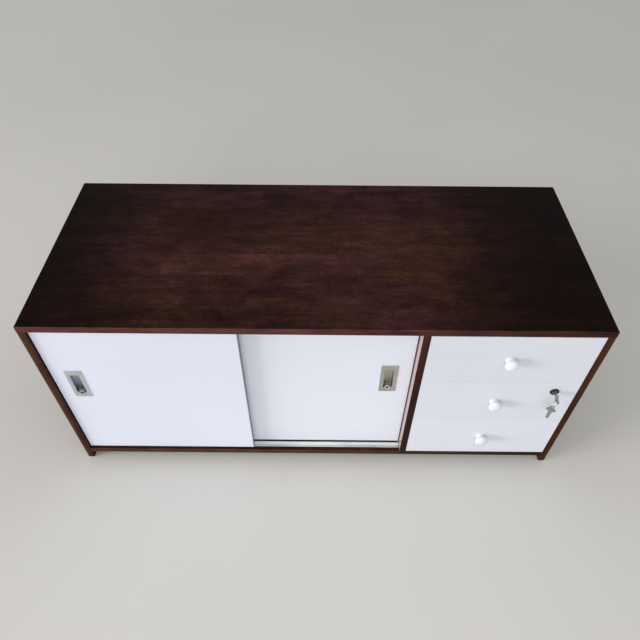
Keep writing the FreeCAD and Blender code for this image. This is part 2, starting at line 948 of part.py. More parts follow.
def key():
    """A flat key along Y with its tip at +Y, its origin at the shoulder, standing in the YZ plane."""
    half = key_thickness / 2
    reach = key_reach - rosette_thickness - plug_proud
    hole_y = key_lobe_radius - reach
    bow_y = hole_y + key_lobe_drop
    lobes = [
        (key_bow_radius, bow_y, 0),
        (key_lobe_radius, hole_y, 0),
        (key_lobe_radius, bow_y, key_lobe_spread),
        (key_lobe_radius, bow_y, -key_lobe_spread),
    ]
    discs = [rod(radius, (-half, y, z), (half, y, z)) for radius, y, z in lobes]
    shoulder = key_shoulder_height / 2
    discs.append(block(-half, half, hole_y, 0, -shoulder, shoulder))
    blade = key_blade_height / 2
    shape = block(-half, half, -shoulder, key_blade_length, -blade, blade).fuse(discs)
    pitch = key_blade_length / (key_notches + 1)
    notch = pitch / 3
    for i in range(key_notches):
        y = pitch * (i + 1)
        corners = [V(-half, y - notch, -blade), V(-half, y, notch - blade), V(-half, y + notch, -blade)]
        outline = Part.Face(Part.makePolygon(corners + corners[:1]))
        shape = shape.cut(outline.extrude(V(key_thickness, 0, 0)))
    hole = rod(key_hole_radius, (-half, hole_y, 0), (half, hole_y, 0))
    return shape.cut(hole).removeSplitter()


key_front = front - rosette_thickness - plug_proud
ring_hole = V(lock_x, front - key_reach + key_lobe_radius, lock_level)


def ring_centre():
    """The ring leans through the hole of the key, so that the key can turn past it."""
    side = ring_side * math.cos(math.radians(ring_turn))
    return ring_hole + V(side, -ring_forward, -ring_radius * math.cos(math.radians(ring_lean)))


def key_ring():
    turn = math.radians(ring_turn)
    normal = V(math.sin(turn), math.cos(turn), 0)
    return Part.makeTorus(ring_radius, ring_wire_radius, ring_centre(), normal)


def lock_key():
    shape = key()
    shape.translate(V(lock_x, key_front, lock_level))
    return shape


def spare_key():
    """The same key, hung by its hole from the bottom of the ring with its face almost to the front."""
    shape = key()
    reach = key_reach - rosette_thickness - plug_proud
    shape.translate(V(0, reach - key_lobe_radius, 0))
    shape.rotate(V(0, 0, 0), V(1, 0, 0), -90)
    shape.rotate(V(0, 0, 0), V(0, 0, 1), 90 + spare_key_yaw)
    shape.translate(ring_centre() - V(0, 0, ring_radius + spare_key_drop))
    return shape


nodes["drawer_lock_barrel"] = lock_barrel()
nodes["drawer_lock_plug"] = lock_plug()
nodes["drawer_lock_cam"] = lock_cam()
nodes["drawer_lock_key"] = lock_key()
nodes["key_ring"] = key_ring()
nodes["spare_key"] = spare_key()


# ---- one STEP file for each node ----
os.makedirs("parts", exist_ok=True)
for name, shape in nodes.items():
    shape.exportStep("parts/" + name + ".step")
print(len(nodes), "nodes written")
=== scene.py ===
import json
import math

import bmesh
import bpy
from mathutils import Euler, Matrix, Vector


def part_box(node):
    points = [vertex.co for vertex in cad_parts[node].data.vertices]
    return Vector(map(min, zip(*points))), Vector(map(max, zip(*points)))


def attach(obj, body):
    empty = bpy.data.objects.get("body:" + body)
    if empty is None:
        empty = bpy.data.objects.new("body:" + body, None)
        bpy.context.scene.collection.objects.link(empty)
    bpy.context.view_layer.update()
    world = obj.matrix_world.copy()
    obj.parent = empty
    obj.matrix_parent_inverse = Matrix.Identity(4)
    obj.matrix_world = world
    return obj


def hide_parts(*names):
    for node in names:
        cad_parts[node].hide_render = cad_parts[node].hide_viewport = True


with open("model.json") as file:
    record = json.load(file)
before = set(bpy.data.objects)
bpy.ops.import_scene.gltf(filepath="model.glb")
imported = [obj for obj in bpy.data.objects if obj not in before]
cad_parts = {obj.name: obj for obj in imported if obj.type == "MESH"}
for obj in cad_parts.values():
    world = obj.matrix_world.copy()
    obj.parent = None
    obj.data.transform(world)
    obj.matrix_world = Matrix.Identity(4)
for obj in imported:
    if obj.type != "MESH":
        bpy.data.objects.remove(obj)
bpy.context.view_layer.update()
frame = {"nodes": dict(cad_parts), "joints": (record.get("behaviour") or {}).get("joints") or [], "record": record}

# Office credenza. Metres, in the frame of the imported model: the front faces -Y.
NODES = frame["nodes"]
JOINT_AT = {joint["name"]: joint["pos_m"] for joint in frame["joints"] if "pos_m" in joint}
DRAWERS = ("bottom_drawer", "middle_drawer", "top_drawer")


def linear(level):
    """The linear value of one sRGB level of 0 to 255."""
    share = level / 255
    return share / 12.92 if share <= 0.04045 else ((share + 0.055) / 1.055) ** 2.4


def srgb(*levels):
    """A linear colour from sRGB levels of 0 to 255."""
    return tuple(linear(level) for level in levels) + (1.0,)


# ---------------------------------------------------------------- node helpers
class Tree:
    """A material and short ways to add nodes to it. A value is a number, a tuple or a socket."""

    def __init__(self, name):
        self.material = bpy.data.materials.new(name)
        self.material.use_nodes = True
        self.tree = self.material.node_tree
        self.tree.nodes.clear()
        self.output = self.tree.nodes.new("ShaderNodeOutputMaterial")
        self.shader = self.tree.nodes.new("ShaderNodeBsdfPrincipled")
        self.tree.links.new(self.shader.outputs[0], self.output.inputs["Surface"])

    def give(self, socket, value):
        if isinstance(value, bpy.types.NodeSocket):
            self.tree.links.new(value, socket)
        else:
            socket.default_value = value

    def add(self, kind, inputs, **settings):
        node = self.tree.nodes.new("ShaderNode" + kind)
        for key, value in settings.items():
            setattr(node, key, value)
        for key, value in inputs.items():
            self.give(node.inputs[key], value)
        return node

    def math(self, operation, a, b=0.0, clamp=False):
        return self.add("Math", {0: a, 1: b}, operation=operation, use_clamp=clamp).outputs[0]

    def ramp(self, value, stops):
        """A colour ramp. stops are (place, colour) pairs, where a colour may be one grey number."""
        node = self.add("ValToRGB", {"Fac": value})
        points = node.color_ramp.elements
        while len(points) < len(stops):
            points.new(0.5)
        for point, (place, colour) in zip(points, stops):
            point.position = place
            point.color = colour if isinstance(colour, tuple) else (colour, colour, colour, 1.0)
        return node.outputs["Color"]

    def mix(self, factor, a, b, blend="MIX"):
        node = self.add("Mix", {"Factor": factor}, data_type="RGBA", blend_type=blend)
        self.give(node.inputs[6], a)
        self.give(node.inputs[7], b)
        return node.outputs[2]

    def total(self, *terms):
        """The sum of several values, each a socket, a number or a (socket, factor) pair."""
        result = None
        for term in terms:
            if isinstance(term, tuple):
                term = self.math("MULTIPLY", *term)
            result = term if result is None else self.math("ADD", result, term)
        return result

    def map_range(self, value, low, high, to_low=0.0, to_high=1.0):
        inputs = {
            "Value": value, "From Min": low, "From Max": high, "To Min": to_low, "To Max": to_high,
        }
        return self.add("MapRange", inputs).outputs[0]

    def noise(self, vector, scale, detail=3.0, roughness=0.5, distortion=0.0):
        inputs = {
            "Vector": vector, "Scale": scale, "Detail": detail,
            "Roughness": roughness, "Distortion": distortion,
        }
        return self.add("TexNoise", inputs).outputs["Fac"]

    def place(self, scale=(1, 1, 1)):
        """Place on the piece in metres, stretched."""
        coords = self.add("TexCoord", {}).outputs["Object"]
        return self.add("Mapping", {"Vector": coords, "Scale": scale}).outputs[0]

    def split(self, vector):
        return self.add("SeparateXYZ", {"Vector": vector}).outputs

    def join(self, x, y, z):
        return self.add("CombineXYZ", {"X": x, "Y": y, "Z": z}).outputs[0]

    def outward(self):
        """The three parts of the surface's outward direction."""
        return self.split(self.add("NewGeometry", {}).outputs["Normal"])

    def figure(self, kind, u, v, depth):
        """Noise drawn out along the grain. u lies along it and v across it."""
        along_scale, across_scale, detail, roughness = FIGURE[kind]
        where = self.join(
            self.math("MULTIPLY", u, along_scale), self.math("MULTIPLY", v, across_scale), depth,
        )
        return self.noise(where, 1.0, detail, roughness)

    def bump(self, height, distance, strength):
        inputs = {"Height": height, "Distance": distance, "Strength": strength}
        return self.add("Bump", inputs).outputs[0]

    def surface(self, **values):
        names = {
            "color": "Base Color", "metal": "Metallic", "rough": "Roughness", "normal": "Normal",
            "specular": "Specular IOR Level", "coat": "Coat Weight", "coat_rough": "Coat Roughness",
        }
        for key, value in values.items():
            self.give(self.shader.inputs[names[key]], value)
        return self.material


# ---------------------------------------------------------------- materials
# Noise in the woods: its scale per metre along and across the grain, its detail and its roughness
FIGURE = {
    "warp": (5.0, 14.0, 3.0, 0.5), "broad": (4.5, 62.0, 4.0, 0.6), "streaks": (9.0, 230.0, 4.0, 0.65),
    "fibres": (26.0, 950.0, 2.0, 0.7), "cloud": (3.0, 5.4, 3.0, 0.6), "mottle": (17.0, 36.0, 4.0, 0.65),
    "speckle": (70.0, 190.0, 3.0, 0.7), "tint": (2.6, 6.0, 3.0, 0.6),
    "sheet_warp": (1.6, 5.0, 3.0, 0.5), "sheet_streaks": (1.7, 70.0, 6.0, 0.6),
    "sheet_fibres": (25.0, 800.0, 2.0, 0.7), "pale_warp": (3.0, 9.0, 3.0, 0.5),
    "pale_streaks": (2.5, 60.0, 5.0, 0.6), "pale_flecks": (60.0, 700.0, 2.0, 0.7),
}

STAVE_WIDTH = 0.034
STAVE_SHORTEST = 0.13
STAVE_SPREAD = 0.22  # how much longer than the shortest a stave may be
ROW_SHIFT = 3.7  # how far each row of staves may be shifted against the next
GRAIN_WAVE = 0.012
STAIN_LEVEL = -0.52  # brings the sum of the stain's patterns to the middle of its ramps
DEEP_STAIN = srgb(10, 6, 5)
JOINT_LINE = srgb(10, 5, 4)
RUBBED_EDGE = srgb(124, 86, 70)
# The next two paint a reflection on the divider's left face: a pale strip near its front edge, painted sheen
PAINTED_SHEEN_COLOUR = srgb(164, 138, 137)
PAINTED_SHEEN_DEPTH = (0.034, 0.020)  # from the front edge: where the pale strip ends, and where it is full


def white_noise(t, vector):
    node = t.add("TexWhiteNoise", {"Vector": vector}, noise_dimensions="3D")
    return node.outputs["Value"], node.outputs["Color"]


def third_axis(along, across):
    return ({"X", "Y", "Z"} - {along, across}).pop()


def painted_sheen_level(t, u, v, cloud, wear_and_sheen):
    """What is added to the stain's level to paint the middle of the board paler, darker towards its ends: painted
    sheen. wear_and_sheen is the centre and the reach.
    """
    (centre_u, centre_v), (reach_u, reach_v) = wear_and_sheen
    away_u = t.math("ABSOLUTE", t.math("DIVIDE", t.math("SUBTRACT", u, centre_u), reach_u))
    away_v = t.math("ABSOLUTE", t.math("DIVIDE", t.math("SUBTRACT", v, centre_v), reach_v))
    ragged = t.total((cloud, 1.2), -0.6)
    sheen_u = t.map_range(t.total(away_u, ragged), 0.60, 1.15, 1.0, 0.0)
    sheen_v = t.map_range(t.total(away_v, ragged), 0.20, 1.40, 1.0, 0.0)
    return (sheen_u, 0.26), (t.math("MULTIPLY", sheen_u, sheen_v), 0.15), -0.285


def stained_wood(name, node, along, seed, edge, coat_and_painted_sheen_left=False, wear_and_sheen=None, lean=(1.0, 1.0)):
    """Dark stained solid wood, glued up from short narrow staves. along is the grain's axis.

    edge gives two stain tones of the front edge: the one over its first half, and the one it changes
    to at its right or upper end. lean is how that edge's brightness changes across the board's
    thickness. wear_and_sheen is the place painted paler, a painted sheen, with its reach.
    coat_and_painted_sheen_left: a lacquered left face with a painted reflection by its front edge.
    """
    t = Tree(name)
    across = "Y"
    through = third_axis(along, across)
    low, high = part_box(node)
    axes = t.split(t.place())
    u = axes[along]
    v = axes[across]
    w = axes[through]
    shifted_v = t.math("ADD", v, seed)
    row = t.math("FLOOR", t.math("DIVIDE", shifted_v, STAVE_WIDTH))
    row_noise = t.add("TexWhiteNoise", {"W": row}, noise_dimensions="1D").outputs["Value"]
    length = t.total((row_noise, STAVE_SPREAD), STAVE_SHORTEST)
    shifted = t.total(u, (row_noise, ROW_SHIFT))
    piece = t.math("FLOOR", t.math("DIVIDE", shifted, length))
    pick, pick_colour = white_noise(t, t.join(piece, row, seed))
    stave = t.ramp(pick, [(0.0, 0.0), (0.10, 0.34), (0.5, 0.5), (0.88, 0.62), (1.0, 0.92)])
    hue = t.split(pick_colour)["Y"]

    # grain, drawn out along the stave and different on each one
    warp = t.figure("warp", u, v, w)
    wavy = t.total(v, (t.math("SUBTRACT", warp, 0.5), GRAIN_WAVE))
    own = t.total((w, 95.0), (pick, 31.0))
    broad = t.figure("broad", u, wavy, own)
    streaks = t.figure("streaks", u, wavy, own)
    fibres = t.figure("fibres", u, wavy, own)
    pores = t.ramp(fibres, [(0.30, 0.0), (0.46, 1.0)])

    # patches where the stain lies thicker or thinner
    cloud = t.figure("cloud", u, v, t.math("ADD", w, seed))
    deep = t.math("MULTIPLY", w, 70.0)
    mottle = t.figure("mottle", u, v, deep)
    speckle = t.figure("speckle", u, v, deep)
    level = t.total((cloud, 0.70), (mottle, 0.44), (stave, 0.16), (broad, 0.14), (streaks, 0.24),
                    (speckle, 0.36), STAIN_LEVEL)
    # paints the middle of the board paler and its ends darker: painted sheen
    if wear_and_sheen:
        level = t.total(level, *painted_sheen_level(t, u, v, cloud, wear_and_sheen))
    brown = t.ramp(level, [
        (0.22, srgb(16, 7, 5)), (0.38, srgb(30, 15, 11)), (0.50, srgb(44, 24, 19)),
        (0.62, srgb(60, 36, 27)), (0.82, srgb(88, 56, 42)),
    ])
    red = t.ramp(level, [
        (0.22, srgb(18, 7, 7)), (0.38, srgb(33, 15, 15)), (0.50, srgb(48, 24, 26)),
        (0.62, srgb(63, 34, 37)), (0.82, srgb(90, 54, 54)),
    ])
    tint = t.figure("tint", u, v, t.math("ADD", w, 4.0))
    redness = t.map_range(t.total((tint, 1.7), (hue, 0.20)), 0.80, 1.20)
    colour = t.mix(redness, brown, red)
    colour = t.mix(t.math("MULTIPLY", t.math("SUBTRACT", 1.0, pores), 0.30), colour, DEEP_STAIN)

    # the hairline where one stave meets the next
    across_row = t.math("FRACT", t.math("DIVIDE", shifted_v, STAVE_WIDTH))
    along_row = t.math("FRACT", t.math("DIVIDE", shifted, length))
    to_row = t.math("ABSOLUTE", t.math("SUBTRACT", across_row, 0.5))
    to_end = t.math("ABSOLUTE", t.math("SUBTRACT", along_row, 0.5))
    row_line = t.map_range(to_row, 0.490, 0.498)
    end_line = t.map_range(to_end, 0.4975, 0.4993)
    line = t.math("MAXIMUM", row_line, end_line, clamp=True)
    colour = t.mix(t.math("MULTIPLY", line, 0.12), colour, JOINT_LINE)

    # the front edge is sawn across the glued board, and takes the stain paler and redder
    normal = t.outward()
    run = t.map_range(u, getattr(low, along.lower()), getattr(high, along.lower()))
    tone, end_tone = edge
    pale = t.ramp(run, [(0.45, srgb(*tone)), (1.0, srgb(*end_tone))])
    shade = t.map_range(t.total((mottle, 0.6), (streaks, 0.4)), 0.32, 0.66, 0.50, 1.42)
    near = getattr(low, through.lower())
    far = getattr(high, through.lower())
    shade = t.math("MULTIPLY", shade, t.map_range(w, near, far, *lean))
    pale = t.mix(1.0, pale, t.join(shade, shade, shade), "MULTIPLY")
    front = t.map_range(normal["Y"], -0.45, -0.85)
    colour = t.mix(front, colour, pale)

    # thin stain along the eased edges
    bent = t.total(*(t.math("ABSOLUTE", t.math("MULTIPLY", normal[a], normal[b]))
                     for a, b in (("X", "Y"), ("Y", "Z"), ("X", "Z"))))
    patchy = t.map_range(mottle, 0.36, 0.56, 0.25, 1.0)
    rubbed = t.math("MULTIPLY", t.map_range(bent, 0.12, 0.42), patchy)
    colour = t.mix(t.math("MULTIPLY", rubbed, 0.40), colour, RUBBED_EDGE)
    # painted reflection: a pale strip on the left face near the front edge; the coat on that face is real
    if coat_and_painted_sheen_left:
        left = t.map_range(normal["X"], -0.5, -0.9)
        sheen = t.map_range(axes["Y"], low.y + PAINTED_SHEEN_DEPTH[0], low.y + PAINTED_SHEEN_DEPTH[1])
        colour = t.mix(t.math("MULTIPLY", left, sheen), colour, PAINTED_SHEEN_COLOUR)
        t.surface(coat=left, coat_rough=0.14)

    height = t.total((pores, 0.7), (streaks, 0.5), (line, -0.6))
    rough = t.map_range(t.total(mottle, (pick, 0.2)), 0.3, 0.9, 0.38, 0.52)
    return t.surface(color=colour, rough=rough, normal=t.bump(height, 0.00010, 0.6), specular=0.04)


def stained_sheet(name):
    """The back board: stained veneer in wide leaves, with a finer, duller grain."""
    t = Tree(name)
    axes = t.split(t.place())
    u = axes["X"]
    v = axes["Z"]
    wavy = t.total(v, (t.figure("sheet_warp", u, v, 0.3), 0.05))
    streaks = t.figure("sheet_streaks", u, wavy, 0.7)
    fibres = t.figure("sheet_fibres", u, wavy, 0.1)
    level = t.total((streaks, 0.75), (fibres, 0.25))
    colour = t.ramp(level, [
        (0.3, srgb(30, 18, 14)), (0.5, srgb(50, 31, 25)), (0.72, srgb(74, 47, 37)),
    ])
    return t.surface(color=colour, rough=t.map_range(streaks, 0.3, 0.7, 0.55, 0.66),
                     normal=t.bump(level, 0.0001, 0.7), specular=0.15)


def pale_wood(name, along, across, dark, light, leaf=0.12, rough=0.45, specular=0.35):
    """Clear-lacquered birch or bare beech, with fine flecks along the grain.

    leaf is the width of the leaf or rod that the grain waves in.
    """
    t = Tree(name)
    axes = t.split(t.place())
    u = axes[along]
    v = axes[across]
    w = axes[third_axis(along, across)]
    wavy = t.total(v, (t.figure("pale_warp", u, v, w), leaf * 0.25))
    streaks = t.figure("pale_streaks", u, wavy, t.math("MULTIPLY", w, FIGURE["pale_streaks"][1]))
    flecks = t.figure("pale_flecks", u, v, t.math("MULTIPLY", w, FIGURE["pale_flecks"][1]))
    level = t.total((streaks, 0.7), (flecks, 0.3))
    middle = tuple((a + b) / 2 for a, b in zip(dark, light))
    colour = t.ramp(level, [(0.32, dark), (0.5, middle), (0.66, light)])
    return t.surface(color=colour, rough=t.map_range(flecks, 0.3, 0.7, rough - 0.05, rough + 0.08),
                     normal=t.bump(level, 0.00008, 0.6), specular=specular)


EDGE_BAND = 0.0009  # thickness of the band on the boards' edges
BAND_LINE = (0.00022, 0.00006)  # half the width of the hairline beside it: faint, and full
TONE_SPREAD = 6
WORN_GREY = srgb(150, 145, 138)
LINE_GREY = srgb(140, 138, 136)
# the grey of a door's right edge face in shade: painted shade
EDGE_SHADE_GREY = (srgb(118, 124, 122), srgb(142, 147, 145))


def white_board(name, node, tone, painted_light_slope, shaded_right_edge):
    """White melamine board with edge bands: a faint pebble in the face, hairline joints by the edges.

    painted_light_slope is how much lighter the board gets towards its bottom: painted light. shaded_right_edge
    paints its right edge face grey: painted shade.
    """
    low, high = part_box(node)
    t = Tree(name)
    axes = t.split(t.place())
    rims = []
    for axis, a, b in (("X", low.x, high.x), ("Z", low.z, high.z)):
        from_low = t.math("SUBTRACT", axes[axis], a)
        from_high = t.math("SUBTRACT", b, axes[axis])
        rims.append(t.math("MINIMUM", from_low, from_high))
    rim = t.math("MINIMUM", *rims)
    normal = t.outward()
    facing_y = t.math("ABSOLUTE", normal["Y"])
    band = t.map_range(t.math("ABSOLUTE", t.math("SUBTRACT", rim, EDGE_BAND)), *BAND_LINE)
    seam = t.math("MULTIPLY", band, t.map_range(facing_y, 0.6, 0.9))
    wear = t.noise(t.place(), 55.0, 5.0, 0.65)
    near_rim = t.map_range(rim, 0.004, 0.0)
    wear_and_sheen = t.math("MULTIPLY", near_rim, t.map_range(wear, 0.50, 0.72), clamp=True)
    smudge = t.noise(t.place(), 7.0, 4.0, 0.6)
    cloud = t.noise(t.place(), 1.7, 2.0, 0.5)
    drawn = t.noise(t.place((3.0, 1.0, 130.0)), 1.0, 3.0, 0.6)
    # lighter towards the bottom: painted light
    painted_light_gradient = t.map_range(axes["Z"], low.z, high.z, painted_light_slope, -painted_light_slope)
    level = t.total((cloud, 0.8), (drawn, 0.2), painted_light_gradient)
    darker = srgb(*(v - TONE_SPREAD for v in tone))
    lighter = srgb(*(v + TONE_SPREAD for v in tone))
    colour = t.ramp(level, [(0.2, darker), (0.8, lighter)])
    colour = t.mix(t.math("MULTIPLY", wear_and_sheen, 0.08), colour, WORN_GREY)
    colour = t.mix(t.math("MULTIPLY", seam, 0.05), colour, LINE_GREY)
    # the right edge face greyed: painted shade
    if shaded_right_edge:
        shaded_edge = t.map_range(normal["X"], 0.5, 0.9)
        grey = t.ramp(level, [(0.2, EDGE_SHADE_GREY[0]), (0.8, EDGE_SHADE_GREY[1])])
        colour = t.mix(shaded_edge, colour, grey)
    pebble = t.noise(t.place(), 900.0, 2.0, 0.5)
    orange_peel = t.noise(t.place(), 160.0, 2.0, 0.5)
    height = t.total((pebble, 0.5), (orange_peel, 0.6), (seam, -0.8))
    return t.surface(color=colour, rough=t.map_range(smudge, 0.3, 0.75, 0.34, 0.48),
                     normal=t.bump(height, 0.00003, 0.6), specular=0.2)


def gloss_white(name):
    """Sprayed white gloss on turned wood: slight ripples and a warmer tone in thin places."""
    t = Tree(name)
    cloud = t.noise(t.place(), 60.0, 3.0, 0.5)
    colour = t.ramp(cloud, [(0.3, srgb(222, 229, 232)), (0.7, srgb(229, 236, 238))])
    ripple = t.noise(t.place(), 260.0, 2.0, 0.5)
    return t.surface(color=colour, rough=t.map_range(cloud, 0.3, 0.7, 0.14, 0.22),
                     normal=t.bump(ripple, 0.00002, 0.5), coat=0.3, coat_rough=0.08)


def white_coat(name):
    """White powder coat on extruded aluminium, with fine draw lines and grey rubs on its edges."""
    t = Tree(name)
    lines = t.noise(t.place((2.0, 900.0, 900.0)), 1.0, 3.0, 0.6)
    rubs = t.noise(t.place((14.0, 90.0, 90.0)), 1.0, 4.0, 0.65)
    runs = t.noise(t.place((9.0, 30.0, 30.0)), 1.0, 3.0, 0.6)
    colour = t.ramp(t.total((lines, 0.35), (runs, 0.65)), [
        (0.36, srgb(204, 214, 216)), (0.50, srgb(231, 234, 234)), (0.62, srgb(246, 246, 244)),
    ])
    colour = t.mix(t.map_range(rubs, 0.60, 0.72, 0.0, 0.5), colour, srgb(168, 160, 152))
    return t.surface(color=colour, rough=t.map_range(rubs, 0.3, 0.7, 0.34, 0.46),
                     normal=t.bump(lines, 0.00002, 0.5), specular=0.4)


FINE_LINES = 2600.0  # brushing lines per metre, roughly
BROAD_LINES = 300.0
RECESS_SHADE_START = 0.0022  # depths in a pull's recess between which it is painted darker: painted shade
RECESS_SHADE_FULL = 0.0105


def brushed(name, stretch, dark, light, rough, recess_shade=None):
    """Brushed metal. stretch is the pattern's scale on each axis: a small number lies along the lines.

    recess_shade gives the node of a pull and the tint that darkens the bottom of its recess: painted shade.
    """
    t = Tree(name)
    lines = t.noise(t.place(tuple(share * FINE_LINES for share in stretch)), 1.0, 4.0, 0.6)
    broad = t.noise(t.place(tuple(share * BROAD_LINES for share in stretch)), 1.0, 3.0, 0.6)
    patch = t.noise(t.place(), 45.0, 3.0, 0.6)
    level = t.total((lines, 0.45), (broad, 0.30), (patch, 0.25))
    colour = t.ramp(level, [(0.35, dark), (0.65, light)])
    # painted shade: darker towards the bottom of the pull's recess
    if recess_shade:
        node, tint = recess_shade
        low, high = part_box(node)
        axes = t.split(t.place())
        deep = t.map_range(axes["Y"], low.y + RECESS_SHADE_START, low.y + RECESS_SHADE_FULL)
        lower = t.map_range(axes["Z"], high.z - 0.020, low.z + 0.030, 0.10, 1.0)
        colour = t.mix(t.math("MULTIPLY", deep, lower), colour, tint, "MULTIPLY")
    rough = t.map_range(level, 0.35, 0.65, rough - 0.06, rough + 0.10)
    return t.surface(color=colour, metal=1.0, rough=rough, normal=t.bump(lines, 0.00002, 0.8))


def zinc(name):
    """Zinc-plated steel: pale, slightly blue, with soft blotches."""
    t = Tree(name)
    blotch = t.noise(t.place(), 90.0, 5.0, 0.65, 0.4)
    fine = t.noise(t.place(), 1400.0, 2.0, 0.6)
    colour = t.ramp(blotch, [
        (0.3, srgb(150, 152, 156)), (0.5, srgb(176, 178, 180)), (0.7, srgb(192, 190, 182)),
    ])
    return t.surface(color=colour, metal=1.0, rough=t.map_range(blotch, 0.3, 0.7, 0.30, 0.46),
                     normal=t.bump(fine, 0.00001, 0.6))


def moulded(name, dark, light, rough=0.5):
    """Moulded nylon with a fine texture and faint flow marks."""
    t = Tree(name)
    flow = t.noise(t.place((1, 1, 0.3)), 40.0, 3.0, 0.5, 0.6)
    grain = t.noise(t.place(), 1500.0, 2.0, 0.6)
    colour = t.ramp(flow, [(0.3, dark), (0.7, light)])
    return t.surface(color=colour, rough=t.map_range(flow, 0.3, 0.7, rough - 0.04, rough + 0.06),
                     normal=t.bump(grain, 0.00002, 0.6), specular=0.4)


def bronze(name, dark, light, rough):
    """Dark bronzed brass, rubbed paler on its raised places."""
    t = Tree(name)
    patch = t.noise(t.place(), 260.0, 4.0, 0.6)
    middle = tuple((a + b) / 2 for a, b in zip(dark, light))
    colour = t.ramp(patch, [(0.35, dark), (0.60, middle), (0.80, light)])
    return t.surface(color=colour, metal=0.8, rough=t.map_range(patch, 0.3, 0.7, rough, rough + 0.12),
                     normal=t.bump(patch, 0.00002, 0.5))


# the paler middle given to the top here is painted sheen
WOOD_TOP = stained_wood("stained_top", "top_panel", "X", 0.31, ((84, 49, 45), (48, 28, 22)),
                        wear_and_sheen=((-0.05, -0.03), (0.50, 0.185)))
WOOD_BOTTOM = stained_wood("stained_bottom", "bottom_panel", "X", 0.53, ((76, 50, 42), (32, 19, 15)))
WOOD_LEFT = stained_wood("stained_left", "left_side_panel", "Z", 0.77, ((70, 42, 30), (82, 54, 42)),
                         lean=(1.35, 0.45))
WOOD_RIGHT = stained_wood("stained_right", "right_side_panel", "Z", 1.13, ((59, 33, 20), (74, 43, 30)),
                          lean=(0.80, 1.15))
WOOD_DIVIDER = stained_wood("stained_divider", "divider_panel", "Z", 1.71, ((49, 27, 20), (68, 38, 30)),
                            coat_and_painted_sheen_left=True, lean=(1.15, 0.75))
WOOD_INSIDE = stained_wood("stained_inside", "cabinet_shelf", "X", 2.09, ((66, 41, 32), (66, 41, 32)))
BACK = stained_sheet("stained_back_board")
BIRCH_SIDE = pale_wood("birch_side", "Y", "Z", srgb(178, 146, 108), srgb(214, 186, 148))
BIRCH_FLAT = pale_wood("birch_flat", "Y", "X", srgb(184, 152, 114), srgb(220, 193, 156))
BIRCH_REAR = pale_wood("birch_rear", "X", "Z", srgb(178, 146, 108), srgb(214, 186, 148))
BEECH = pale_wood("beech_dowel", "Z", "X", srgb(170, 128, 88), srgb(204, 164, 120), 0.01, 0.6, 0.25)
KNOB_WHITE = gloss_white("knob_white")
UPRIGHT = (1.0, 1.0, 0.012)  # brushed along Z
EVERY_WAY = (0.35, 0.35, 0.35)
# The same brushed nickel on both pulls, lighter and cooler on the left door and darker and warmer on the right:
# painted light
LEFT_PULL = brushed("nickel_left", UPRIGHT, srgb(190, 193, 199), srgb(224, 226, 230), 0.44,
                    recess_shade=("left_door_pull", srgb(166, 168, 174)))
RIGHT_PULL = brushed("nickel_right", UPRIGHT, srgb(172, 172, 168), srgb(206, 205, 199), 0.42,
                     recess_shade=("right_door_pull", srgb(226, 220, 214)))
NICKEL_FINE = brushed("nickel_fine", EVERY_WAY, srgb(128, 129, 130), srgb(172, 173, 174), 0.30)
NICKEL_PALE = brushed("nickel_pale", EVERY_WAY, srgb(146, 146, 149), srgb(184, 184, 186), 0.40)
NICKEL_BRIGHT = brushed("nickel_bright", EVERY_WAY, srgb(214, 214, 210), srgb(236, 235, 232), 0.24)
TRACK_WHITE = white_coat("track_white")
ZINC = zinc("zinc_steel")
BRONZE = bronze("dark_bronze", srgb(25, 23, 22), srgb(76, 69, 60), 0.22)
PLUG_DARK = bronze("plug_dark", srgb(24, 25, 25), srgb(60, 60, 56), 0.30)
NYLON = moulded("guide_nylon", srgb(196, 196, 190), srgb(214, 214, 209))
GLIDE = moulded("glide_nylon", srgb(38, 36, 35), srgb(52, 50, 48), 0.55)
# black for the pieces that stand in for shade: painted shade
SHADE_BLACK = moulded("shade_black", srgb(4, 4, 5), srgb(15, 15, 16), 0.85)

# The material of each of the record's slots, and of the nodes that differ from their slot
BY_SLOT = {
    "stained_wood": WOOD_INSIDE, "back_board": BACK, "zinc_steel": ZINC, "aluminium_track": TRACK_WHITE,
    "glide_nylon": GLIDE, "dowel_beech": BEECH, "brushed_nickel": NICKEL_FINE, "guide_nylon": NYLON,
    "white_gloss": KNOB_WHITE, "drawer_birch": BIRCH_SIDE, "dark_bronze": BRONZE,
}
BY_NODE = {
    "top_panel": WOOD_TOP, "bottom_panel": WOOD_BOTTOM, "left_side_panel": WOOD_LEFT,
    "right_side_panel": WOOD_RIGHT, "divider_panel": WOOD_DIVIDER,
    "drawer_lock_plug": NICKEL_FINE, "drawer_lock_key": NICKEL_FINE, "key_ring": NICKEL_PALE,
    "spare_key": NICKEL_PALE, "left_door_pull": LEFT_PULL, "right_door_pull": RIGHT_PULL,
    "left_door_lock_plug": PLUG_DARK, "right_door_lock_plug": PLUG_DARK,
}
for drawer in DRAWERS:
    BY_NODE[drawer + "_bottom"] = BIRCH_FLAT
    BY_NODE[drawer + "_back"] = BIRCH_REAR
# One white melamine in a tone per board: the differences between the boards are painted light
BOARD_TONE_AS_LIT = {
    "left_door_panel": (221, 226, 241), "right_door_panel": (224, 229, 240),
    "top_drawer_front": (212, 217, 226), "middle_drawer_front": (215, 220, 229),
    "bottom_drawer_front": (219, 223, 235),
}
# how much lighter doors and drawer fronts get towards their bottoms: painted light
DOOR_PAINTED_LIGHT = 0.22
DRAWER_PAINTED_LIGHT = 0.04

